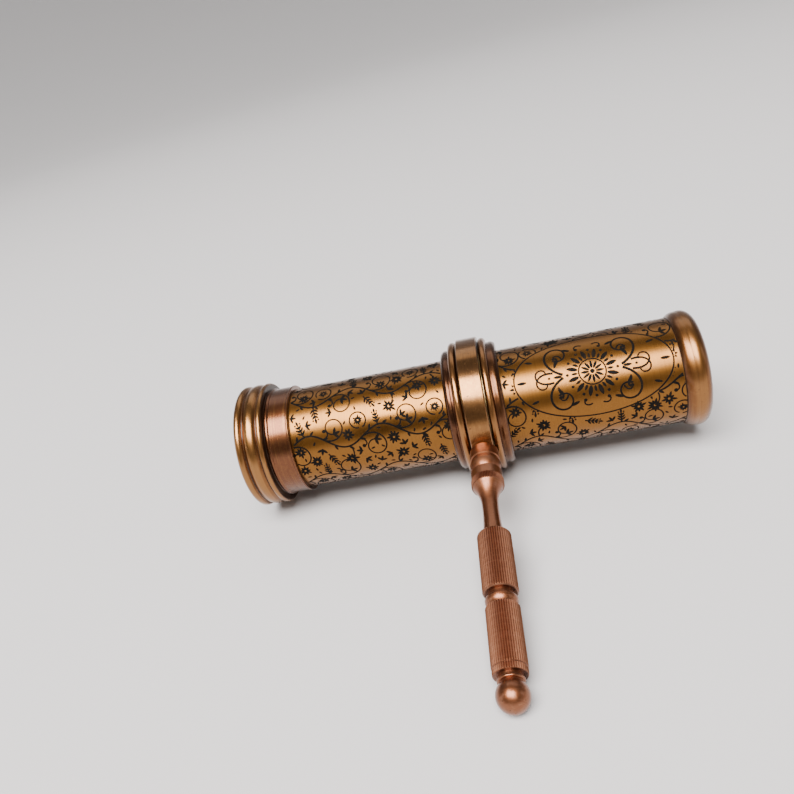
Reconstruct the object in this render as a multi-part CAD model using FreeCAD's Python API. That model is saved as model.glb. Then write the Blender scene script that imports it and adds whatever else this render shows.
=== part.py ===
"""Hand-held brass kaleidoscope on a turned handle, with a turning object cell.

Millimetres. The object lies on a table: barrel level along X with the eye end at +X, handle towards -Y
and drooping until its ball touches the table, +Z up. Every turned piece is drawn about the X axis first:
barrel pieces with x along the barrel from the middle of the handle ring, handle pieces with x outwards
from the barrel's axis along the handle.
"""
import FreeCAD
import Part
import math
import os

os.makedirs("parts", exist_ok=True)
Vector = FreeCAD.Vector

# ---- driving dimensions -------------------------------------------------------------------------
tube_radius = 17.0              # outside of both barrel tubes
tube_wall = 0.8
ring_radius = 22.9              # outside of the handle ring, the widest part of the barrel
ring_half_width = 3.45
seam_gap = 0.25                 # running gap each side of the handle ring
running_clearance = 0.06        # radial, between pieces that turn on each other
fitted_clearance = 0.04         # radial, between pieces soldered, glued or screwed together

cell_end = -79.0                # outer face of the object cap
cap_mouth = -61.0               # edge of the cap that runs on the front tube
tube_front_end = -71.6
eye_ring_seat = 63.2            # end of the eye tube, where the flared ring is screwed in
eye_end = 70.8                  # outer face of the flared eye ring

sleeve_radius = 19.0            # journal that the handle ring turns on
sleeve_half_length = 7.6
shoulder_half_length = 9.0      # outer edge of both shoulders

cell_radius = 18.4              # chamber inside the object cap
glass_thickness = 1.2
cell_depth = 3.4                # room for the loose chips

mirror_width = 24.4
mirror_thickness = 2.0
liner_wall = 0.6

stud_radius = 2.5               # thread that holds the handle in its boss
thread_pitch = 0.8
unscrew_turns = 6
boss_end = 26.5                 # outer face of the boss, from the barrel's axis
washer_thickness = 0.8

upper_grip_radius = 4.8
lower_grip_radius = 4.55
end_ring_radius = 4.45
flute_depth = 0.3
flute_count = 44
rod_radius = 1.25
ball_radius = 4.2
ball_centre = 101.9             # from the barrel's axis

chip_radius = 1.95
chip_spacing = 4.3
chip_thickness = 2.2
chip_colours = ("red", "amber", "green", "blue", "violet")

# ---- sizes that follow --------------------------------------------------------------------------
tube_bore = tube_radius - tube_wall
shoulder_start = ring_half_width + seam_gap
liner_radius = tube_bore - fitted_clearance
mirror_distance = mirror_width / (2 * math.sqrt(3))     # mirror face from the barrel's axis
droop = math.degrees(math.asin((ring_radius - ball_radius) / ball_centre))
handle_reach = ball_centre * math.cos(math.radians(droop)) + ball_radius
middle_x = (cell_end + eye_end) / 2
middle_y = (ring_radius - handle_reach) / 2
to_row_frame = Vector(-middle_x, -middle_y, ring_radius)


# ---- how pieces are made and placed -------------------------------------------------------------
def flat(position, distance):
    """A point of an outline: position along the axis, distance from it."""
    return Vector(position, 0, distance)


def outline(start, *steps):
    """Closed face in the XZ plane. A step is a point for a straight line, or (middle, end) for an arc."""
    edges = []
    here = flat(*start)
    for step in steps + (start,):
        if isinstance(step[0], tuple):
            middle, end = flat(*step[0]), flat(*step[1])
            edges.append(Part.Arc(here, middle, end).toShape())
        else:
            end = flat(*step)
            if (end - here).Length < 1e-6:
                continue
            edges.append(Part.LineSegment(here, end).toShape())
        here = end
    return Part.Face(Part.Wire(edges))


def turned(start, *steps):
    """Solid turned about the X axis from an outline of (x, radius) points."""
    return outline(start, *steps).revolve(Vector(0, 0, 0), Vector(1, 0, 0), 360)


def tube(start, end, outer, inner):
    return turned((start, inner), (start, outer), (end, outer), (end, inner))


def disc(start, end, radius):
    return Part.makeCylinder(radius, end - start, Vector(start, 0, 0), Vector(1, 0, 0))


def regular_prism(start, end, corners):
    """Prism along X through the (y, z) corners."""
    points = [Vector(start, y, z) for y, z in corners]
    face = Part.Face(Part.makePolygon(points + points[:1]))
    return face.extrude(Vector(end - start, 0, 0))


def fluted(start, end, radius, count, depth, chamfer, bore):
    """Bar along X with straight flutes all round, chamfered ends and a bore."""
    corners = []
    for index in range(2 * count):
        angle = math.pi * index / count
        reach = radius if index % 2 == 0 else radius - depth
        corners.append((reach * math.cos(angle), reach * math.sin(angle)))
    small = radius - chamfer
    envelope = turned((start, bore), (start, small), (start + chamfer, radius), (end - chamfer, radius),
                      (end, small), (end, bore))
    return regular_prism(start, end, corners).common(envelope)


def save(name, shape, along_handle=False):
    """Puts a piece in the row frame and writes it."""
    placed = shape.copy()
    if along_handle:
        placed.rotate(Vector(0, 0, 0), Vector(0, 0, 1), -90)
        placed.rotate(Vector(0, 0, 0), Vector(1, 0, 0), droop)
    placed.translate(to_row_frame)
    placed.exportStep("parts/" + name + ".step")


# ---- handle ring: a turned band with a threaded boss brazed into its side -------------------------
def handle_ring():
    chamfer = 0.3
    edge = ring_half_width - chamfer
    band = turned((-ring_half_width, sleeve_radius + running_clearance),
                  (-ring_half_width, ring_radius - chamfer), (-edge, ring_radius),
                  (edge, ring_radius), (ring_half_width, ring_radius - chamfer),
                  (ring_half_width, sleeve_radius + running_clearance))
    band.rotate(Vector(0, 0, 0), Vector(0, 0, 1), 90)
    return band.cut(disc(0, ring_radius + 1, spigot_radius + fitted_clearance))


spigot_radius = 3.2
spigot_start = sleeve_radius + 0.6
boss_radius = 4.55


def handle_boss():
    bore = stud_radius + running_clearance
    rim = boss_radius - 0.35
    block = turned((spigot_start, bore), (spigot_start, boss_radius), (boss_end - 0.35, boss_radius),
                   (boss_end, rim), (boss_end, bore))
    ring_solid = Part.makeCylinder(ring_radius, 4 * ring_half_width, Vector(0, -2 * ring_half_width, 0),
                                   Vector(0, 1, 0))
    spigot = tube(spigot_start, ring_radius, spigot_radius, bore)
    return block.cut(ring_solid).fuse(spigot).removeSplitter()


save("handle_ring", handle_ring(), along_handle=True)
save("handle_boss", handle_boss(), along_handle=True)

# ---- handle: turned neck, knurled collar, two fluted grips and a ball, on one tie rod -------------
neck_start = boss_end + washer_thickness
neck_end = 55.1
collar_start = 34.5
collar_end = 37.0
collar_seat = 3.2
collar_radius = 4.95
rod_start = 48.4
rod_end = 100.3
rod_bore = rod_radius + fitted_clearance
upper_grip_end = 74.3
waist_end = 78.4
lower_grip_end = 95.3
end_ring_end = 97.1
stud_start = boss_end - thread_pitch * unscrew_turns - 0.2


def handle_neck():
    """Threaded stud, bead, plain band and a waisted neck that swells again to meet the upper grip."""
    tip_chamfer = 0.4
    return turned((stud_start, 0), (stud_start, stud_radius - tip_chamfer),
                  (stud_start + tip_chamfer, stud_radius), (neck_start, stud_radius), (neck_start, 4.35),
                  ((27.7, 4.65), (28.3, 4.75)), ((29.9, 4.5), (31.1, 3.95)), (31.4, 3.95),
                  (31.5, 4.75), (collar_start, 4.75), (collar_start, collar_seat),
                  (collar_end, collar_seat), (collar_end, 4.6), ((39.8, 3.15), (44.0, 2.45)),
                  ((49.8, 2.5), (54.6, 2.95)), (neck_end, 3.2),
                  (neck_end, rod_bore), (rod_start, rod_bore), (rod_start, 0))


def waist_bead():
    return turned((upper_grip_end, rod_bore), (upper_grip_end, 3.4), (75.7, 3.4),
                  ((75.9, 4.2), (76.4, 4.42)), ((77.5, 4.15), (78.3, 3.6)), (waist_end, 3.6),
                  (waist_end, rod_bore))


def ball_finial():
    neck = 3.2
    throat = 3.0
    ball_start = ball_centre - math.sqrt(ball_radius ** 2 - throat ** 2)
    slant = ball_radius / math.sqrt(2)
    return turned((end_ring_end, rod_bore), (end_ring_end, neck), (97.9, neck),
                  ((98.3, 3.5), (98.7, neck)), (98.8, throat), (ball_start, throat),
                  ((ball_centre, ball_radius), (ball_centre + slant, slant)),
                  ((ball_centre + ball_radius * math.cos(math.pi / 8), ball_radius * math.sin(math.pi / 8)),
                   (ball_centre + ball_radius, 0)),
                  (rod_end + 0.2, 0), (rod_end + 0.2, rod_bore))


def grip(start, end, radius, chamfer):
    return fluted(start, end, radius, flute_count, flute_depth, chamfer, rod_bore)


save("handle_washer", tube(boss_end, neck_start, 4.3, stud_radius + running_clearance), along_handle=True)
save("handle_neck", handle_neck(), along_handle=True)
save("knurled_collar", fluted(collar_start, collar_end, collar_radius, 66, 0.34, 0.25,
                              collar_seat + fitted_clearance), along_handle=True)
save("upper_grip", grip(neck_end, upper_grip_end, upper_grip_radius, 0.5), along_handle=True)
save("waist_bead", waist_bead(), along_handle=True)
save("lower_grip", grip(waist_end, lower_grip_end, lower_grip_radius, 0.35), along_handle=True)
save("grip_end_ring", grip(lower_grip_end, end_ring_end, end_ring_radius, 0.3), along_handle=True)
save("ball_finial", ball_finial(), along_handle=True)
save("grip_tie_rod", disc(rod_start + 0.2, rod_end, rod_radius), along_handle=True)


# ---- barrel: two tubes joined by a sleeve, with a shoulder each side of the handle ring -----------
def shoulder(side, crest, groove, flare):
    """Bead against the ring, a turned groove, then a flare down to the tube; side is -1 or +1."""
    bore = tube_radius + fitted_clearance
    journal = sleeve_radius + fitted_clearance
    seat = sleeve_half_length + fitted_clearance
    half = turned((shoulder_start, journal), (shoulder_start, crest - 0.9),
                  ((4.7, crest), (6.1, groove + 0.5)), (6.3, groove), (6.8, groove),
                  ((8.3, groove - 0.1), (shoulder_half_length, flare)),
                  (shoulder_half_length, bore), (seat, bore), (seat, journal))
    if side < 0:
        half = half.mirror(Vector(0, 0, 0), Vector(1, 0, 0))
    return half


save("front_tube", tube(tube_front_end, -0.1, tube_radius, tube_bore))
save("eye_tube", tube(0.1, eye_ring_seat, tube_radius, tube_bore))
save("centre_sleeve", tube(-sleeve_half_length, sleeve_half_length, sleeve_radius,
                           tube_radius + fitted_clearance))
save("front_shoulder", shoulder(-1, crest=22.3, groove=19.9, flare=18.9))
save("eye_shoulder", shoulder(+1, crest=22.1, groove=20.3, flare=19.6))

# ---- optics: three mirrors in a card liner, packed tight and masked at both ends ------------------
flange_width = 1.3
mask_thickness = 0.8
front_mask_start = tube_front_end + 0.1
liner_start = front_mask_start + mask_thickness
liner_end = 56.4
mirror_margin = 0.2
packing_margin = 1.0
mirror_turns = {"lower": -90, "front": 150, "back": 30}      # way each mirror's back points, in degrees


def triangle(circle_radius):
    """Corners between the mirrors, so that each side lies along one mirror."""
    angles = [math.radians(90 + 120 * index) for index in range(3)]
    return [(circle_radius * math.cos(angle), circle_radius * math.sin(angle)) for angle in angles]


def mirror(turn):
    strip = Part.makeBox(liner_end - liner_start - 2 * mirror_margin, mirror_thickness,
                         mirror_width - 2 * fitted_clearance,
                         Vector(liner_start + mirror_margin, mirror_distance,
                                fitted_clearance - mirror_width / 2))
    strip.rotate(Vector(0, 0, 0), Vector(1, 0, 0), turn)
    return strip


def packing(turn):
    """Strip that fills the space between a mirror's back and the liner."""
    inner = liner_radius - liner_wall - 0.1
    back = mirror_distance + mirror_thickness + 0.05
    bar = disc(liner_start + packing_margin, liner_end - packing_margin, inner)
    keep = Part.makeBox(liner_end - liner_start, inner, 2 * inner, Vector(liner_start, back, -inner))
    strip = bar.common(keep)
    strip.rotate(Vector(0, 0, 0), Vector(1, 0, 0), turn)
    return strip


save("retaining_flange", tube(tube_front_end, tube_front_end + flange_width, cell_radius - 0.15,
                              tube_radius + fitted_clearance))
save("card_liner", tube(liner_start, liner_end, liner_radius, liner_radius - liner_wall))
for side, turn in mirror_turns.items():
    save("mirror_" + side, mirror(turn))
    save("packing_" + side, packing(turn))
view_triangle = regular_prism(front_mask_start, liner_start, triangle(mirror_width / math.sqrt(3) - 0.8))
save("front_mask", disc(front_mask_start, liner_start, liner_radius).cut(view_triangle))
save("eye_mask", tube(liner_end, liner_end + mask_thickness, liner_radius, 6.0))

# ---- eye end: flared ring that holds the peephole plate and the lens, all loaded from inside --------
spigot_end = liner_end + mask_thickness + 0.3
recess_radius = 13.5
recess_floor = 66.2             # shoulder that the peephole plate is pressed against
inner_bore = 14.4
inner_fit = inner_bore - fitted_clearance
plate_start = 65.0
peephole_radius = 3.5
lens_radius = 11.0
lens_opening = 9.5
gasket_thickness = 0.4
lens_seat = 62.6
lens_cell_start = 61.8
retainer_start = 60.2


def eye_ring():
    """Screwed into the tube; a bell outside, and inside a recess beyond the plate's shoulder."""
    spigot = tube_bore - fitted_clearance
    return turned((eye_ring_seat, spigot), (eye_ring_seat, tube_radius - 0.15), (63.5, tube_radius + 0.15),
                  ((64.5, 17.95), (66.6, 18.4)), ((69.5, 18.0), (eye_end, 16.4)), (eye_end, 14.0),
                  (eye_end - 0.5, recess_radius), (recess_floor, recess_radius),
                  (recess_floor, inner_bore), (spigot_end, inner_bore), (spigot_end, spigot))


def eye_plate():
    """Blackened disc with a raised rim and a dished peephole."""
    face = recess_floor - 0.4
    return turned((plate_start, peephole_radius), (plate_start, inner_fit), (recess_floor, inner_fit),
                  (recess_floor, recess_radius + 0.3), (face, recess_radius),
                  (face, peephole_radius + 1.4), (plate_start + 0.2, peephole_radius))


def eye_lens():
    """Plano-convex, with its flat side towards the eye."""
    flat_side = plate_start - gasket_thickness
    return turned((lens_seat + 0.05, 0), ((63.0, 6.0), (63.6, lens_radius)), (flat_side, lens_radius),
                  (flat_side, 0))


def lens_cell():
    """Ring that centres the lens in the bore, with a lip in front of it."""
    return turned((lens_cell_start, lens_opening), (lens_cell_start, inner_fit), (plate_start, inner_fit),
                  (plate_start, lens_radius + fitted_clearance), (lens_seat, lens_radius + fitted_clearance),
                  (lens_seat, lens_opening))


save("eye_ring", eye_ring())
save("eye_plate", eye_plate())
save("lens_gasket", tube(plate_start - gasket_thickness, plate_start, lens_radius, 9.6))
save("eye_lens", eye_lens())
save("lens_cell", lens_cell())
save("lens_retainer", tube(retainer_start, lens_cell_start, inner_fit, 11.5))

# ---- object cell: ribbed cap with two glass discs and loose coloured chips between them -----------
cap_shoulder = tube_front_end + flange_width + 0.2
inner_glass = tube_front_end - 0.3
spacer_start = inner_glass - glass_thickness
spacer_end = spacer_start - cell_depth
frosted_end = spacer_end - glass_thickness
window_ring_end = frosted_end - 0.9
spacer_radius = cell_radius - fitted_clearance
chamber_radius = 16.8


def object_cap():
    """Two wide beads and a narrow one, a step down, a small bead, then a band with a thin lip."""
    return turned((cell_end, cell_radius), (cell_end, 20.2), ((-77.9, 20.95), (-76.6, 20.2)),
                  (-76.4, 20.0), (-76.1, 20.0), ((-73.9, 20.95), (-71.8, 20.1)), (-71.6, 19.95),
                  (-71.3, 19.95), ((-70.3, 20.9), (-69.5, 20.3)), (-69.4, 18.5), (-69.2, 18.3),
                  ((-68.5, 18.65), (-67.7, 18.3)), (-61.8, 18.2), ((-61.4, 18.45), (cap_mouth, 18.1)),
                  (cap_mouth, tube_radius + running_clearance),
                  (cap_shoulder, tube_radius + running_clearance), (cap_shoulder, cell_radius))


def chip(corner_count, turn, y, z):
    """Small polygon tile of glass standing in the chamber."""
    middle = (spacer_start + spacer_end) / 2
    corners = []
    for index in range(corner_count):
        angle = turn + 2 * math.pi * index / corner_count
        corners.append((y + chip_radius * math.cos(angle), z + chip_radius * math.sin(angle)))
    return regular_prism(middle - chip_thickness / 2, middle + chip_thickness / 2, corners)


def chip_places():
    """Close-packed places in the lower part of the chamber, where the chips fall."""
    places = []
    row_height = chip_spacing * math.sqrt(3) / 2
    reach = chamber_radius - chip_radius - 0.2
    for row in range(5):
        z = -reach + row * row_height + 0.5
        for column in range(-4, 5):
            y = (column + 0.5 * (row % 2)) * chip_spacing
            if math.hypot(y, z) < reach:
                places.append((y, z))
    return places


def chips():
    """One group of separate chips for each colour."""
    groups = {colour: [] for colour in chip_colours}
    for index, (y, z) in enumerate(chip_places()):
        colour = chip_colours[index % len(chip_colours)]
        groups[colour].append(chip(3 + index % 4, 1.7 * index, y, z))
    return groups


save("object_cap", object_cap())
save("cell_inner_glass", disc(spacer_start, inner_glass, spacer_radius))
save("cell_spacer", tube(spacer_end, spacer_start, spacer_radius, chamber_radius))
save("cell_frosted_glass", disc(frosted_end, spacer_end, spacer_radius))
save("window_ring", turned((window_ring_end, 16.9), (window_ring_end, spacer_radius),
                           (frosted_end, spacer_radius), (frosted_end, 16.4)))
for colour, solids in chips().items():
    save("chips_" + colour, Part.makeCompound(solids))
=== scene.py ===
import cmath
import math
import random

import bpy
from mathutils import Euler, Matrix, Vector
from mathutils.kdtree import KDTree


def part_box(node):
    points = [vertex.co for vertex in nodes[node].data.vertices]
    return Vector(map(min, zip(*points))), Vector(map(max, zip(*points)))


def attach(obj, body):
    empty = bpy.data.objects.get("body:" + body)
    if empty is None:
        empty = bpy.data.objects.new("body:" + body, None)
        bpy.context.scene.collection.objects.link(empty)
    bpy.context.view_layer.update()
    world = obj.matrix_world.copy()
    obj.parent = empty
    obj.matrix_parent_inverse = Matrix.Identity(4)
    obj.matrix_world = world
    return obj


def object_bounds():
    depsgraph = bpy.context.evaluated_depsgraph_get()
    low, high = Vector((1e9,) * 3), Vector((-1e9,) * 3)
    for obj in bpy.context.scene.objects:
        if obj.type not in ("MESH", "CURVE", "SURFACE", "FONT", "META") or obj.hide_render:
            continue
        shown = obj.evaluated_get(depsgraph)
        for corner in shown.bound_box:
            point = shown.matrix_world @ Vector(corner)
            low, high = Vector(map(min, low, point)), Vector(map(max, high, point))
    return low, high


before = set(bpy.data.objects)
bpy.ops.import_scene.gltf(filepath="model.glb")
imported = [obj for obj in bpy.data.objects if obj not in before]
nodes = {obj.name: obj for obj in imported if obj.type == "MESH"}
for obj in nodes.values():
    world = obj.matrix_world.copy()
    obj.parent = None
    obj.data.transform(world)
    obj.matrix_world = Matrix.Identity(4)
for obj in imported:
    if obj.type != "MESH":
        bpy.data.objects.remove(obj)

cad_low, cad_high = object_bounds()
bpy.ops.object.select_all(action="DESELECT")

# ---- Camera --------------------------------------------------------------------------------------
# A short lens close above the handle side. The camera leans over to its left, so the barrel climbs
# towards its eye end.
MM = 0.001
camera_lean = (60.417, 13.828, 2.905)
camera_data = bpy.data.cameras.new("camera")
camera_data.lens = 33.63
camera_data.sensor_width = 36.0
camera_data.clip_start = 5 * MM
camera = bpy.data.objects.new("camera", camera_data)
camera.location = (0.01844, -0.17377, 0.1511)
camera.rotation_euler = Euler([math.radians(angle) for angle in camera_lean])
bpy.context.scene.collection.objects.link(camera)
bpy.context.scene.camera = camera

# ---- Studio --------------------------------------------------------------------------------------
# A pale painted floor that sweeps up into a wall all round, under one long soft box high in front. A
# weaker box behind, two at the sides and a dim grey room fill the shadows.
floor_radius = 1.5
sweep_radius = 2.6
sweep_steps = 16
floor_sides = 128
bpy.ops.mesh.primitive_circle_add(vertices=floor_sides, radius=floor_radius, fill_type="NGON",
                                  location=(0, 0, cad_low.z))
studio_floor = bpy.context.object
studio_floor.name = "studio_floor"
bpy.ops.object.mode_set(mode="EDIT")
bpy.ops.mesh.select_mode(type="EDGE")
reach = floor_radius
for step in range(sweep_steps):
    before, after = (math.pi / 2 * count / sweep_steps for count in (step, step + 1))
    rise = sweep_radius * (math.cos(before) - math.cos(after))
    wider = reach + sweep_radius * (math.sin(after) - math.sin(before))
    bpy.ops.mesh.extrude_edges_move(TRANSFORM_OT_translate={"value": (0, 0, rise)})
    bpy.ops.transform.resize(value=(wider / reach, wider / reach, 1))
    reach = wider
bpy.ops.object.mode_set(mode="OBJECT")
bpy.ops.object.shade_smooth()
floor_paint = bpy.data.materials.new("floor_paint")
floor_paint.use_nodes = True
floor_surface = floor_paint.node_tree.nodes["Principled BSDF"]
floor_surface.inputs["Base Color"].default_value = (0.56, 0.556, 0.552, 1)
floor_surface.inputs["Roughness"].default_value = 0.9
studio_floor.data.materials.append(floor_paint)

room = bpy.data.worlds.new("room")
bpy.context.scene.world = room
room.use_nodes = True
room_light = room.node_tree.nodes["Background"]
room_light.inputs["Color"].default_value = (0.97, 0.97, 1.0, 1)
room_light.inputs["Strength"].default_value = 0.26


def soft_box(name, place, width, depth, brightness, tint):
    """Rectangular lamp at place, facing the object, with the same brightness whatever its size."""
    data = bpy.data.lights.new(name, "AREA")
    data.shape = "RECTANGLE"
    data.size = width
    data.size_y = depth
    data.energy = math.pi * width * depth * brightness
    data.color = tint
    lamp = bpy.data.objects.new(name, data)
    lamp.location = place
    lamp.rotation_euler = (-Vector(place)).to_track_quat("-Z", "Y").to_euler()
    bpy.context.scene.collection.objects.link(lamp)


soft_box("box_over", (-0.25, -0.86, 1.78), 1.8, 1.15, 22.0, (1.0, 0.955, 0.945))
soft_box("box_back", (0.15, 1.3, 1.5), 2.0, 0.9, 1.2, (1.0, 0.97, 0.95))
soft_box("box_left", (-1.9, -0.4, 0.70), 0.5, 1.0, 2.0, (1.0, 0.97, 0.95))
soft_box("box_right", (1.9, -0.3, 0.80), 0.4, 0.9, 2.0, (1.0, 0.97, 0.95))

# ---- Handle ring ---------------------------------------------------------------------------------
# The wide brass band that the barrel turns in. It is turned from bar, polished and aged with a brown
# patina, and as the most handled part it is rubbed bright and speckled.
ring_low, ring_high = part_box("handle_ring")
ring_middle = (ring_low + ring_high) / 2
ring_radius = (ring_high.z - ring_low.z) / 2
ball_low, ball_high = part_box("ball_finial")
along_barrel = (0.0, 0.0, 0.0)
handle_way = (ball_low + ball_high) / 2 - ring_middle
along_handle = tuple(Vector((1, 0, 0)).rotation_difference(handle_way).to_euler())
grime = (0.022, 0.012, 0.007)


def add_node(tree, kind, settings, **links):
    """New shader node. settings and links go to the inputs of those names, as numbers or sockets."""
    node = tree.nodes.new(kind)
    for name, value in settings.items():
        node.inputs[name].default_value = value
    for name, source in links.items():
        tree.links.new(source, node.inputs[name])
    return node


def noise(tree, place, scale, detail=4.0, roughness=0.6, stretch=None):
    """Noise with scale features per metre; stretch squeezes it along each axis."""
    if stretch:
        place = add_node(tree, "ShaderNodeMapping", {"Scale": stretch}, Vector=place).outputs["Vector"]
    node = add_node(tree, "ShaderNodeTexNoise", {"Scale": scale, "Detail": detail, "Roughness": roughness},
                    Vector=place)
    return node.outputs["Fac"]


def spread(tree, value, low, high, to_low=0.0, to_high=1.0):
    """Smooth step of a value from one range to another."""
    node = add_node(tree, "ShaderNodeMapRange", {"From Min": low, "From Max": high, "To Min": to_low,
                                                 "To Max": to_high}, Value=value)
    node.interpolation_type = "SMOOTHSTEP"
    return node.outputs["Result"]


def work_out(tree, operation, *values):
    """Arithmetic on sockets and numbers."""
    node = tree.nodes.new("ShaderNodeMath")
    node.operation = operation
    for slot, value in zip(node.inputs, values):
        if isinstance(value, (int, float)):
            slot.default_value = value
        else:
            tree.links.new(value, slot)
    return node.outputs["Value"]


def blend(tree, amount, first, second):
    """Colour between first and second, each a colour or a socket."""
    node = tree.nodes.new("ShaderNodeMixRGB")
    for slot, value in zip(node.inputs[1:], (first, second)):
        if isinstance(value, tuple):
            slot.default_value = (*value, 1)
        else:
            tree.links.new(value, slot)
    tree.links.new(amount, node.inputs["Fac"])
    return node.outputs["Color"]


def new_material(name):
    """Material with its tree, its surface shader and the place on the object in metres."""
    material = bpy.data.materials.new(name)
    material.use_nodes = True
    tree = material.node_tree
    place = tree.nodes.new("ShaderNodeTexCoord").outputs["Object"]
    return material, tree, tree.nodes["Principled BSDF"], place


def raise_surface(tree, surface, height, depth):
    """Bump of the given depth in metres."""
    bump = add_node(tree, "ShaderNodeBump", {"Strength": 1.0, "Distance": depth}, Height=height)
    tree.links.new(bump.outputs["Normal"], surface.inputs["Normal"])


def antique_brass(name, patina, metal, rubbed, worn_from, worn_to, turn=along_barrel, roughness=0.27,
                  mottle=0.35, specks=0.35, dents=0.10, coat=0.3, seams=()):
    """Aged brass on a turned piece. Patina stays where the surface is nearer the axis than worn_from and
    the metal is bare beyond worn_to, with rubbed spots, lines left by the lathe and specks of dirt. seams
    lists places along the axis that hold grime."""
    material, tree, surface, place = new_material(name)
    centred = add_node(tree, "ShaderNodeMapping", {"Location": ring_middle, "Rotation": turn}, Vector=place)
    centred.vector_type = "TEXTURE"
    place = centred.outputs["Vector"]
    along, side, up = add_node(tree, "ShaderNodeSeparateXYZ", {}, Vector=place).outputs
    distance = work_out(tree, "SQRT", work_out(tree, "MULTIPLY_ADD", side, side,
                                               work_out(tree, "MULTIPLY", up, up)))
    clouds = noise(tree, place, 45.0, 3.0, 0.5)
    grain = noise(tree, place, 900.0, 4.0, 0.6)
    dots = noise(tree, place, 1500.0, 2.0)
    turning = noise(tree, place, 1.0, 3.0, 0.6, (3800.0, 50.0, 50.0))
    colour = blend(tree, spread(tree, distance, worn_from, worn_to), patina, metal)
    colour = blend(tree, spread(tree, clouds, 0.35, 0.7, 0.0, 0.35), colour, patina)
    colour = blend(tree, spread(tree, grain, 0.48, 0.70, 0.0, mottle), colour, rubbed)
    crest = spread(tree, distance, worn_to - 0.1 * MM, worn_to + 0.1 * MM, 0.0, 0.5)
    colour = blend(tree, crest, colour, rubbed)
    colour = blend(tree, spread(tree, turning, 0.50, 0.68, 0.0, 0.30), colour, rubbed)
    colour = blend(tree, spread(tree, turning, 0.46, 0.34, 0.0, 0.25), colour, patina)
    dirt = spread(tree, dots, 0.66, 0.73, 0.0, specks)
    for seam in seams:
        gap = work_out(tree, "ABSOLUTE", work_out(tree, "SUBTRACT", along, seam))
        ragged_gap = work_out(tree, "MULTIPLY_ADD", grain, 0.3 * MM, gap)
        seam_dirt = spread(tree, ragged_gap, 0.2 * MM, 0.5 * MM, 0.9, 0.0)
        dirt = work_out(tree, "MAXIMUM", dirt, seam_dirt)
    colour = blend(tree, dirt, colour, grime)
    tree.links.new(colour, surface.inputs["Base Color"])
    surface.inputs["Metallic"].default_value = 1.0
    surface.inputs["Coat Weight"].default_value = coat
    surface.inputs["Coat IOR"].default_value = 1.55
    surface.inputs["Coat Roughness"].default_value = 0.2
    polish = spread(tree, clouds, 0.3, 0.7, roughness - 0.04, roughness + 0.05)
    tree.links.new(work_out(tree, "MULTIPLY_ADD", dirt, 0.4, polish), surface.inputs["Roughness"])

    knocks = noise(tree, place, 120.0, 2.0, 0.4)
    fine_relief = work_out(tree, "MULTIPLY_ADD", turning, 0.010, work_out(tree, "MULTIPLY", grain, 0.014))
    relief = work_out(tree, "MULTIPLY_ADD", knocks, dents, fine_relief)
    raise_surface(tree, surface, relief, 0.25 * MM)
    return material


def finish(material, *names):
    """Gives CAD nodes a material."""
    for name in names:
        for slot in nodes[name].material_slots:
            slot.material = material


band_brass = antique_brass("band_brass", (0.070, 0.023, 0.005), (0.195, 0.073, 0.013), (0.315, 0.142, 0.037),
                           ring_radius - 0.4 * MM, ring_radius - 0.05 * MM, roughness=0.20, mottle=0.7,
                           specks=0.8, dents=0.22, coat=0.45)
finish(band_brass, "handle_ring")

# ---- Barrel tubes --------------------------------------------------------------------------------
# Two lengths of drawn brass tube, soldered into the sleeve inside the handle ring. They are lacquered a
# golden brown, plain and smooth between the lines of the ornament, with grime where other pieces meet them.
tube_low, tube_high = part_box("eye_tube")
tube_radius = (tube_high.z - tube_low.z) / 2
tube_joints = [x - ring_middle.x for x in (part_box("object_cap")[1].x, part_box("front_shoulder")[0].x,
                                           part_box("eye_shoulder")[1].x, tube_high.x)]
tube_brass = antique_brass("tube_brass", (0.104, 0.040, 0.008), (0.188, 0.074, 0.012), (0.240, 0.106, 0.022),
                           tube_radius - 2 * MM, tube_radius - 1 * MM, roughness=0.26, mottle=0.3,
                           specks=0.2, coat=0.12, seams=tube_joints)
finish(tube_brass, "front_tube", "eye_tube")

# ---- Barrel ornament -----------------------------------------------------------------------------
# Vines, tendrils, daisies and sprigs bitten into both tubes with acid and filled with black wax. Every
# stroke is drawn flat, in millimetres along the barrel and round it, and then wrapped on the tube.
random.seed(41)
stem_width = 0.26
hair_width = 0.22
wax_lift, wax_height = 0.014, 0.10
round_tube = 2 * math.pi * tube_radius / MM
vine_rows = 7


def stroke(drawing, points):
    """Adds one line, given as (place, half width) pairs."""
    drawing.append([(complex(place), width) for place, width in points])


def tendril(drawing, start, way, length, bend, curl, thick=stem_width, thin=hair_width):
    """Line that leaves start towards way, while its bend per millimetre grows to curl. Gives its end."""
    least_steps, step_length = 5, 0.42
    steps = max(least_steps, round(length / step_length))
    place, line = start, []
    for step in range(steps + 1):
        share = step / steps
        line.append((place, thick + (thin - thick) * share))
        way += (bend + (curl - bend) * share) * length / steps
        place += cmath.rect(length / steps, way)
    stroke(drawing, line)
    return line[-1][0], way


def leaf(drawing, root, way, length, width):
    """Pointed leaf or petal."""
    shape = ((0.0, 0.4), (0.25, 0.9), (0.55, 1.0), (0.82, 0.65), (1.0, 0.1))
    stroke(drawing, [(root + cmath.rect(length * share, way), width * part) for share, part in shape])


def bead(drawing, centre, size):
    """Round blot, for a berry or the end of a curl."""
    shape = ((-1.0, 0.2), (-0.6, 0.8), (0.0, 1.0), (0.6, 0.8), (1.0, 0.2))
    stroke(drawing, [(centre + size * share, size * part) for share, part in shape])


def hook(drawing, root, way, size, side):
    """Short curl that ends in a bead. side is 1 to curl left and -1 to curl right."""
    tip, _ = tendril(drawing, root, way, 2.5 * size, 0.3 * side / size, 2.2 * side / size)
    bead(drawing, tip, 0.36 * size)


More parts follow.
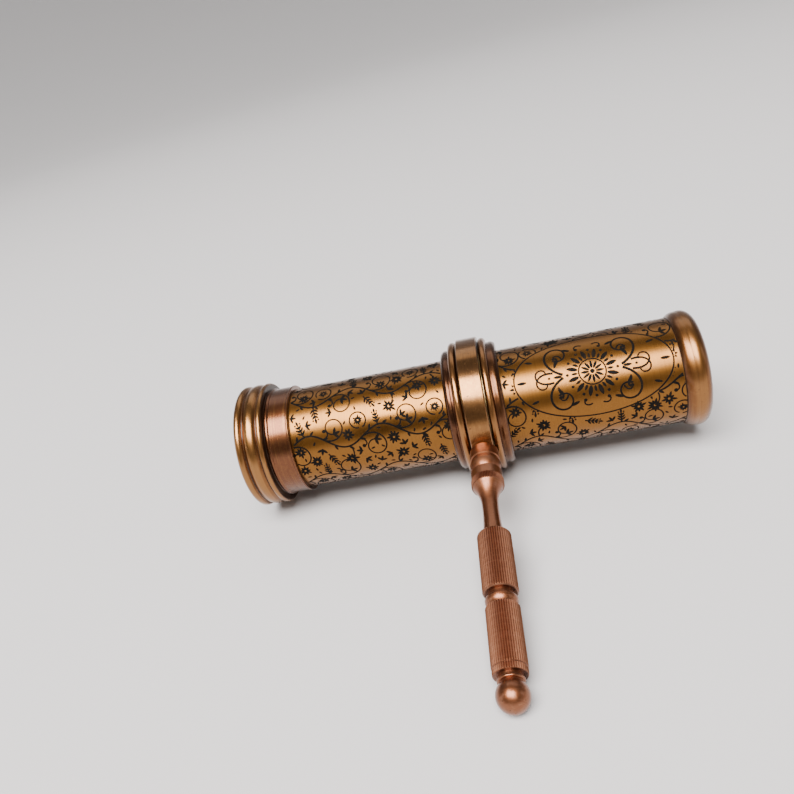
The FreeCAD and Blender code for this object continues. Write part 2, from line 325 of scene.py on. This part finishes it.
def daisy(drawing, centre, size):
    """Flower of sharp petals, long and short by turns."""
    petals = random.choice((9, 10, 11))
    first = random.uniform(0, 2 * math.pi)
    for count in range(petals):
        length = size * (1.0 if count % 2 else 0.76) * random.uniform(0.88, 1.12)
        way = first + 2 * math.pi * count / petals
        leaf(drawing, centre + cmath.rect(0.16 * size, way), way, 0.86 * length, 0.17 * size)


def trefoil(drawing, centre, way, size):
    """Three leaves and a berry, as at the heart of a tendril."""
    for lean in (-1.05, 0.0, 1.05):
        leaf(drawing, centre, way + lean, 2.0 * size, 0.42 * size)
    bead(drawing, centre, 0.40 * size)


def sprig(drawing, root, way, size):
    """Upright stem with three pairs of leaves, a pair of berries and a bud."""
    top, _ = tendril(drawing, root, way, 3.3 * size, 0.0, 0.0)
    for share, length in ((0.7, 1.5), (1.6, 1.35), (2.5, 1.1)):
        for side in (1, -1):
            leaf(drawing, root + cmath.rect(share * size, way), way + 0.8 * side, length * size, 0.27 * size)
    for side in (1, -1):
        bead(drawing, top + cmath.rect(0.75 * size, way + 1.1 * side), 0.24 * size)
    leaf(drawing, top, way, 1.3 * size, 0.30 * size)


def vine(drawing, start, end, level, wave, sway, first_crest):
    """Winding stem from start to end along the barrel. A tendril curls into each of its bends, round a
    daisy or a trefoil, and a sprig or a daisy stands on the outside."""
    def on_stem(along):
        turn = 2 * math.pi * (along - first_crest) / wave
        slope = -sway * 2 * math.pi / wave * math.sin(turn)
        return complex(along, level + sway * math.cos(turn)), math.atan(slope)

    step_length = 0.5
    steps = round((end - start) / step_length)
    stroke(drawing, [(on_stem(start + (end - start) * step / steps)[0], stem_width * 1.1)
                     for step in range(steps + 1)])
    spiral_length, spiral_bend, spiral_curl = 22.0, 0.17, 0.46
    head_length, head_bend, head_curl = 5.2, -0.25, -0.35
    bend_at = first_crest - wave
    side = -1
    while bend_at < end + wave / 2:
        root, way = on_stem(bend_at - 0.27 * wave * random.uniform(0.9, 1.1))
        size = random.uniform(0.95, 1.1)
        tip, tip_way = tendril(drawing, root, way + 0.1 * side, spiral_length * size,
                               spiral_bend * side / size, spiral_curl * side / size)
        if random.random() < 0.6:
            daisy(drawing, tip, 2.1)
        else:
            trefoil(drawing, tip, tip_way, 1.1)
        for share in (-0.16, 0.03, 0.2):
            bud, bud_way = on_stem(bend_at + share * wave)
            leaf(drawing, bud, bud_way - side * random.uniform(0.6, 1.0), random.uniform(1.6, 2.1), 0.40)
        crown, crown_way = on_stem(bend_at + wave * random.uniform(-0.06, 0.06))
        outward = crown_way - side * math.pi / 2
        if random.random() < 0.5:
            sprig(drawing, crown, outward + random.uniform(-0.2, 0.2), random.uniform(1.1, 1.35))
        else:
            head, _ = tendril(drawing, crown, outward + 0.5, head_length, head_bend, head_curl)
            daisy(drawing, head, 2.4)
        shoot, shoot_way = on_stem(bend_at + 0.2 * wave)
        hook(drawing, shoot, shoot_way - side * 0.8, 1.7, -side)
        bend_at += wave / 2
        side = -side


def fill_gaps(drawing, start, end):
    """Sets loose daisies, sprigs and trefoils wherever there is room between the vines."""
    taken = [place + 1j * turn for line in drawing for place, _ in line
             for turn in (-round_tube, 0, round_tube)]
    tree = KDTree(len(taken))
    for index, place in enumerate(taken):
        tree.insert((place.real, place.imag, 0), index)
    tree.balance()
    loose = []
    sprig_room, daisy_room, trefoil_room, leaf_room = 2.9, 2.2, 1.5, 0.8
    loop_radius, loop_length = 2.7, 15.5
    motifs = ((sprig_room, 500), (daisy_room, 900), (trefoil_room, 1200), (leaf_room, 900))
    for room_needed, tries in motifs:
        for _ in range(tries):
            centre = complex(random.uniform(start, end), random.uniform(0, round_tube))
            nearest = tree.find((centre.real, centre.imag, 0))[2]
            if nearest < room_needed * 0.85 + 0.3:
                continue
            if any(abs(centre + 1j * turn - other) < room_needed + other_room + 0.1
                   for other, other_room in loose for turn in (-round_tube, 0, round_tube)):
                continue
            loose.append((centre, room_needed * 0.9))
            way = random.uniform(0, 2 * math.pi)
            if room_needed == sprig_room and random.random() < 0.55:
                tendril(drawing, centre + cmath.rect(loop_radius, way), way + math.pi / 2, loop_length,
                        0.36, 0.40)
                daisy(drawing, centre, 1.7)
            elif room_needed == sprig_room:
                sprig(drawing, centre - cmath.rect(2.6, way), way, 1.25)
            elif room_needed == daisy_room:
                if random.random() < 0.6:
                    daisy(drawing, centre, 2.3)
                else:
                    trefoil(drawing, centre, way, 1.0)
            elif room_needed == trefoil_room:
                trefoil(drawing, centre - cmath.rect(0.6, way), way, 0.95)
            else:
                leaf(drawing, centre - cmath.rect(0.7, way), way, 1.4, 0.32)


def cut_to(drawing, keep):
    """Splits the strokes where they leave the part of the drawing that keep says yes to."""
    kept = []
    for line in drawing:
        run = []
        for place, width in line:
            if keep(place):
                run.append((place, width))
            else:
                kept.append(run)
                run = []
        kept.append(run)
    return [run for run in kept if len(run) > 1]


def bite(name, drawing, material, closed=()):
    """Turns flat strokes into one mesh of wax lines lying in the surface of the tubes."""
    curve = bpy.data.curves.new(name, "CURVE")
    curve.dimensions = "3D"
    curve.twist_mode = "Z_UP"
    curve.bevel_depth = 1.0
    curve.bevel_resolution = 0
    curve.use_fill_caps = True
    for line in list(drawing) + list(closed):
        spline = curve.splines.new("POLY")
        spline.points.add(len(line) - 1)
        spline.use_cyclic_u = line in closed
        for point, (place, width) in zip(spline.points, line):
            point.co = (place.real, place.imag, 0, 1)
            point.radius = width
    piece = bpy.data.objects.new(name, curve)
    bpy.context.scene.collection.objects.link(piece)
    bpy.ops.object.select_all(action="DESELECT")
    piece.select_set(True)
    bpy.context.view_layer.objects.active = piece
    bpy.ops.object.convert(target="MESH")
    for vertex in piece.data.vertices:
        along, around, height = vertex.co
        angle = around * MM / tube_radius
        radius = tube_radius + (wax_lift + wax_height * height) * MM
        vertex.co = ring_middle + Vector((along * MM, -radius * math.cos(angle), radius * math.sin(angle)))
    bpy.ops.object.shade_smooth_by_angle(angle=math.radians(25))
    piece.data.materials.clear()
    piece.data.materials.append(material)
    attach(piece, "barrel")


def black_wax():
    """Black filler, rubbed down so that it lets a little brown through."""
    material, tree, surface, place = new_material("black_wax")
    patches = noise(tree, place, 160.0, 4.0)
    grain = noise(tree, place, 2500.0, 3.0)
    black, brown = (0.004, 0.0035, 0.003), (0.018, 0.011, 0.006)
    colour = blend(tree, spread(tree, patches, 0.5, 0.75, 0.0, 0.6), black, brown)
    colour = blend(tree, spread(tree, grain, 0.62, 0.78, 0.0, 0.6), colour, (0.07, 0.04, 0.018))
    tree.links.new(colour, surface.inputs["Base Color"])
    surface.inputs["Specular IOR Level"].default_value = 0.05
    tree.links.new(spread(tree, patches, 0.3, 0.7, 0.5, 0.7), surface.inputs["Roughness"])
    raise_surface(tree, surface, grain, 0.01 * MM)
    return material


cap_gap = 0.2
front_start = (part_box("object_cap")[1].x - ring_middle.x) / MM + cap_gap
front_end = (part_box("front_shoulder")[0].x - ring_middle.x) / MM
eye_start = (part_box("eye_shoulder")[1].x - ring_middle.x) / MM
eye_end = (tube_high.x - ring_middle.x) / MM
front_drawing, eye_drawing = [], []
waves, sways, first_crests = (23.0, 26.5), (2.6, 3.4), (5, 9)
first_row, margin = 0.42, 1
for row in range(vine_rows):
    level = round_tube * (row + first_row) / vine_rows
    for drawing, start, end in ((front_drawing, front_start, front_end), (eye_drawing, eye_start, eye_end)):
        wave = random.uniform(*waves)
        vine(drawing, start, end, level, wave, random.uniform(*sways),
             start + random.uniform(*first_crests) + (wave / 2) * (row % 2))
fill_gaps(front_drawing, front_start + margin, front_end - margin)
fill_gaps(eye_drawing, eye_start + margin, eye_end - margin)

oval_along, oval_turn = 37.0, math.radians(45)
oval_middle = complex(oval_along, oval_turn * tube_radius / MM)
oval_long, oval_high, oval_margin = 24.0, 14.0, 0.3


def beyond_oval(place):
    """Whether a place is outside the oval and its margin."""
    offset = place - oval_middle
    return ((offset.real / (oval_long + oval_margin)) ** 2
            + (offset.imag / (oval_high + oval_margin)) ** 2 > 1)


front_drawing = cut_to(front_drawing, lambda place: front_start < place.real < front_end)
eye_drawing = cut_to(eye_drawing, lambda place: eye_start < place.real < eye_end and beyond_oval(place))
wax = black_wax()
bite("front_tube_etching", front_drawing, wax)
bite("eye_tube_etching", eye_drawing, wax)

# ---- Cartouche -----------------------------------------------------------------------------------
# A plain oval left free in the eye tube's ornament and framed by a thin line. A rosette like the view in
# the mirrors fills its middle, between scrolls that are the same left and right, above and below.
frame_points, frame_width = 96, 0.24
frame_line = [(oval_middle + complex(oval_long * math.cos(2 * math.pi * count / frame_points),
                                     oval_high * math.sin(2 * math.pi * count / frame_points)),
               frame_width) for count in range(frame_points)]
rosette, quarter, ends = [], [], []
petals = 12
for count in range(petals):
    way = 2 * math.pi * count / petals
    between = way + math.pi / petals
    leaf(rosette, cmath.rect(1.0, way), way, 2.6, 0.44)
    leaf(rosette, cmath.rect(4.5, between), between, 3.4, 0.66)
    leaf(rosette, cmath.rect(4.5, way), way, 1.9, 0.40)
    bead(rosette, cmath.rect(7.6, way), 0.46)
bead(rosette, 0j, 0.75)
circle_steps = 48
stroke(rosette, [(cmath.rect(4.1, 2 * math.pi * step / circle_steps), frame_width)
                 for step in range(circle_steps + 1)])
tip, tip_way = tendril(quarter, 8.9 + 0.5j, 0.42, 22.0, 0.07, 0.47, 0.42, 0.24)
trefoil(quarter, tip, tip_way, 0.85)
tendril(quarter, 11.8 + 1.5j, 0.15, 12.5, -0.04, -0.80, 0.36, 0.22)
leaf(quarter, 11.0 + 3.2j, 1.9, 2.6, 0.48)
leaf(quarter, 17.4 + 6.3j, 0.3, 2.4, 0.42)
hook(quarter, 8.4 + 6.0j, 1.3, 1.5, -1)
leaf(quarter, 5.4 + 8.6j, 0.35, 2.8, 0.48)
hook(quarter, 1.6 + 9.9j, 0.5, 1.5, -1)
leaf(ends, 20.3 + 0j, 0.0, 2.9, 0.5)
leaf(ends, 9.3 + 0j, 0.0, 2.6, 0.5)
bead(ends, 13.2 + 0j, 0.42)
inscription = [[(oval_middle + place, width) for place, width in line] for line in rosette]
for across in (1, -1):
    inscription += [[(oval_middle + complex(across * place.real, place.imag), width)
                     for place, width in line] for line in ends]
    for up in (1, -1):
        inscription += [[(oval_middle + complex(across * place.real, up * place.imag), width)
                         for place, width in line] for line in quarter]
bite("cartouche", inscription, wax, closed=[frame_line])

# ---- Shoulders -----------------------------------------------------------------------------------
# A stepped and grooved collar each side of the handle ring, turned from brass and soldered to the sleeve
# that joins the tubes. They keep the ring in its place, and their grooves stay dark and coppery.
half_gap = 3.6 * MM
shoulder_brass = antique_brass("shoulder_brass", (0.060, 0.018, 0.006), (0.192, 0.070, 0.017),
                               (0.336, 0.152, 0.046), 19.5 * MM, 21.6 * MM, roughness=0.25, mottle=0.12,
                               seams=(-half_gap, half_gap))
sleeve_brass = antique_brass("sleeve_brass", (0.30, 0.18, 0.07), (0.50, 0.33, 0.13), (0.60, 0.43, 0.2),
                             17 * MM, 19 * MM, roughness=0.35)
finish(shoulder_brass, "front_shoulder", "eye_shoulder")
finish(sleeve_brass, "centre_sleeve")

# ---- Object cap ----------------------------------------------------------------------------------
# The turning cell's housing, turned from one piece of brass: two wide beads, a narrow one, then a plain
# band that runs on the front tube. The beads are worn golden, the band keeps a redder patina.
cap_grooves = (-76.25 * MM, -71.45 * MM, -69.4 * MM)
cap_brass = antique_brass("cap_brass", (0.122, 0.038, 0.011), (0.205, 0.080, 0.016), (0.350, 0.167, 0.046),
                          18.6 * MM, 20.6 * MM, roughness=0.27, mottle=0.10, specks=0.2, dents=0.12,
                          coat=0.4, seams=cap_grooves)
finish(cap_brass, "object_cap", "window_ring")

# ---- Cell glasses, spacer and chips --------------------------------------------------------------
# Two discs of window glass, the outer one ground so that daylight comes in evenly, with a brass ring
# between them. Chips of coloured glass lie loose in the space and fall as the cap is turned. A flange
# soldered on the end of the front tube keeps the cap from coming off.
def glass(name, colour, clarity, roughness, ground=0.0):
    """Glass with faint streaks; ground is the depth of its ground face in metres."""
    material, tree, surface, place = new_material(name)
    streaks = noise(tree, place, 220.0, 4.0)
    dust = noise(tree, place, 3000.0, 3.0, 0.7)
    tree.links.new(blend(tree, spread(tree, streaks, 0.3, 0.8, 0.0, 0.5), colour,
                         tuple(0.75 * part for part in colour)), surface.inputs["Base Color"])
    surface.inputs["Transmission Weight"].default_value = clarity
    surface.inputs["IOR"].default_value = 1.5
    tree.links.new(spread(tree, streaks, 0.3, 0.7, roughness, roughness + 0.06), surface.inputs["Roughness"])
    raise_surface(tree, surface, dust, 0.002 * MM + ground)
    return material


clear_glass = glass("clear_glass", (0.93, 0.97, 0.95), 1.0, 0.02)
finish(clear_glass, "cell_inner_glass", "eye_lens")
frosted_glass = glass("frosted_glass", (0.95, 0.96, 0.94), 0.96, 0.30, 0.012 * MM)
finish(frosted_glass, "cell_frosted_glass")
chip_colours = {"red": (0.72, 0.02, 0.03), "amber": (0.90, 0.40, 0.03), "green": (0.03, 0.45, 0.14),
                "blue": (0.04, 0.14, 0.62), "violet": (0.36, 0.06, 0.55)}
for colour_name, colour in chip_colours.items():
    finish(glass(colour_name + "_glass", colour, 0.85, 0.05), "chips_" + colour_name)
finish(sleeve_brass, "cell_spacer", "retaining_flange")

# ---- Eye ring and lens ---------------------------------------------------------------------------
# A bell-shaped brass ring screwed into the eye tube. From inside it holds a blackened plate with the
# peephole, then a rubber gasket and the lens in its own brass cell with a screwed retainer.
rim_brass = antique_brass("rim_brass", (0.106, 0.036, 0.008), (0.190, 0.070, 0.014), (0.304, 0.137, 0.036),
                          16.8 * MM, 18.3 * MM, roughness=0.27, mottle=0.15, specks=0.5, dents=0.2, coat=0.4,
                          seams=(tube_high.x - ring_middle.x,))
finish(rim_brass, "eye_ring")
finish(sleeve_brass, "lens_cell", "lens_retainer")


def dull(name, colour, pale, scale, roughness, depth):
    """Matt stuff such as paint, rubber or card, with its own grain."""
    material, tree, surface, place = new_material(name)
    grain = noise(tree, place, scale, 5.0, 0.65)
    blots = noise(tree, place, scale / 9, 3.0)
    shade = work_out(tree, "MULTIPLY_ADD", grain, 0.6, work_out(tree, "MULTIPLY", blots, 0.4))
    tree.links.new(blend(tree, spread(tree, shade, 0.35, 0.7), colour, pale), surface.inputs["Base Color"])
    tree.links.new(spread(tree, grain, 0.3, 0.7, roughness, roughness + 0.12), surface.inputs["Roughness"])
    surface.inputs["Specular IOR Level"].default_value = 0.3
    raise_surface(tree, surface, grain, depth)
    return material


black_paint = dull("black_paint", (0.012, 0.011, 0.010), (0.035, 0.028, 0.022), 1400.0, 0.5, 0.03 * MM)
finish(black_paint, "eye_plate")
black_rubber = dull("black_rubber", (0.018, 0.018, 0.018), (0.04, 0.04, 0.04), 2200.0, 0.7, 0.04 * MM)
finish(black_rubber, "lens_gasket")

# ---- Mirrors and packing -------------------------------------------------------------------------
# Three strips of front-silvered glass in a triangle, wedged in a rolled card liner by card packing, with a
# black mask at each end. They slide in as one bundle before the eye ring is screwed on.
silver, silver_tree, silver_surface, silver_place = new_material("silvered_glass")
haze = noise(silver_tree, silver_place, 90.0, 6.0, 0.7)
hazy_silver = blend(silver_tree, spread(silver_tree, haze, 0.4, 0.8), (0.93, 0.94, 0.94), (0.80, 0.81, 0.80))
silver_tree.links.new(hazy_silver, silver_surface.inputs["Base Color"])
silver_surface.inputs["Metallic"].default_value = 1.0
silver_tree.links.new(spread(silver_tree, haze, 0.4, 0.8, 0.02, 0.09), silver_surface.inputs["Roughness"])
finish(silver, "mirror_lower", "mirror_front", "mirror_back")
black_card = dull("black_card", (0.020, 0.018, 0.016), (0.06, 0.055, 0.05), 900.0, 0.75, 0.06 * MM)
finish(black_card, "card_liner", "packing_lower", "packing_front", "packing_back", "front_mask", "eye_mask")

# ---- Boss, washer and neck -----------------------------------------------------------------------
# The boss is brazed into the ring and tapped for the handle's stud, with a loose washer between. Boss and
# neck are turned brass with a copper-brown patina, polished on the bead; the waisted neck, nearest the axis,
# is painted lighter as a painted highlight.
# Here the first (patina) colour is lighter than the metal: it paints a highlight on the waisted neck and the
# ball near the axis.
boss_brass = antique_brass("boss_brass", (0.224, 0.080, 0.034), (0.188, 0.064, 0.026), (0.304, 0.132, 0.064),
                           2.3 * MM, 4.6 * MM, turn=along_handle, roughness=0.36, mottle=0.5, specks=0.5,
                           dents=0.16, coat=0.35)
finish(boss_brass, "handle_boss", "handle_washer", "handle_neck", "waist_bead", "ball_finial")

# ---- Knurled collar and grips --------------------------------------------------------------------
# A coarse milled collar, two grips and an end ring with straight flutes, threaded on a steel tie rod that
# the ball draws tight. The flutes hold dark patina and their crests are rubbed pale by the hand.
fluted_pieces = {"knurled_collar": (4.62, 4.92), "upper_grip": (4.50, 4.78), "lower_grip": (4.25, 4.53),
                 "grip_end_ring": (4.15, 4.43)}
for name, (valley, crest) in fluted_pieces.items():
    fluted_brass = antique_brass(name + "_brass", (0.086, 0.030, 0.015), (0.390, 0.152, 0.078),
                                 (0.499, 0.242, 0.140), valley * MM, crest * MM, turn=along_handle,
                                 roughness=0.42, mottle=0.3, specks=0.3, coat=0.2)
    finish(fluted_brass, name)
rod_steel, rod_tree, rod_surface, rod_place = new_material("rod_steel")
rod_grain = noise(rod_tree, rod_place, 800.0, 4.0)
rod_colour = blend(rod_tree, rod_grain, (0.42, 0.42, 0.43), (0.60, 0.60, 0.61))
rod_tree.links.new(rod_colour, rod_surface.inputs["Base Color"])
rod_surface.inputs["Metallic"].default_value = 1.0
rod_tree.links.new(spread(rod_tree, rod_grain, 0.3, 0.7, 0.28, 0.42), rod_surface.inputs["Roughness"])
finish(rod_steel, "grip_tie_rod")
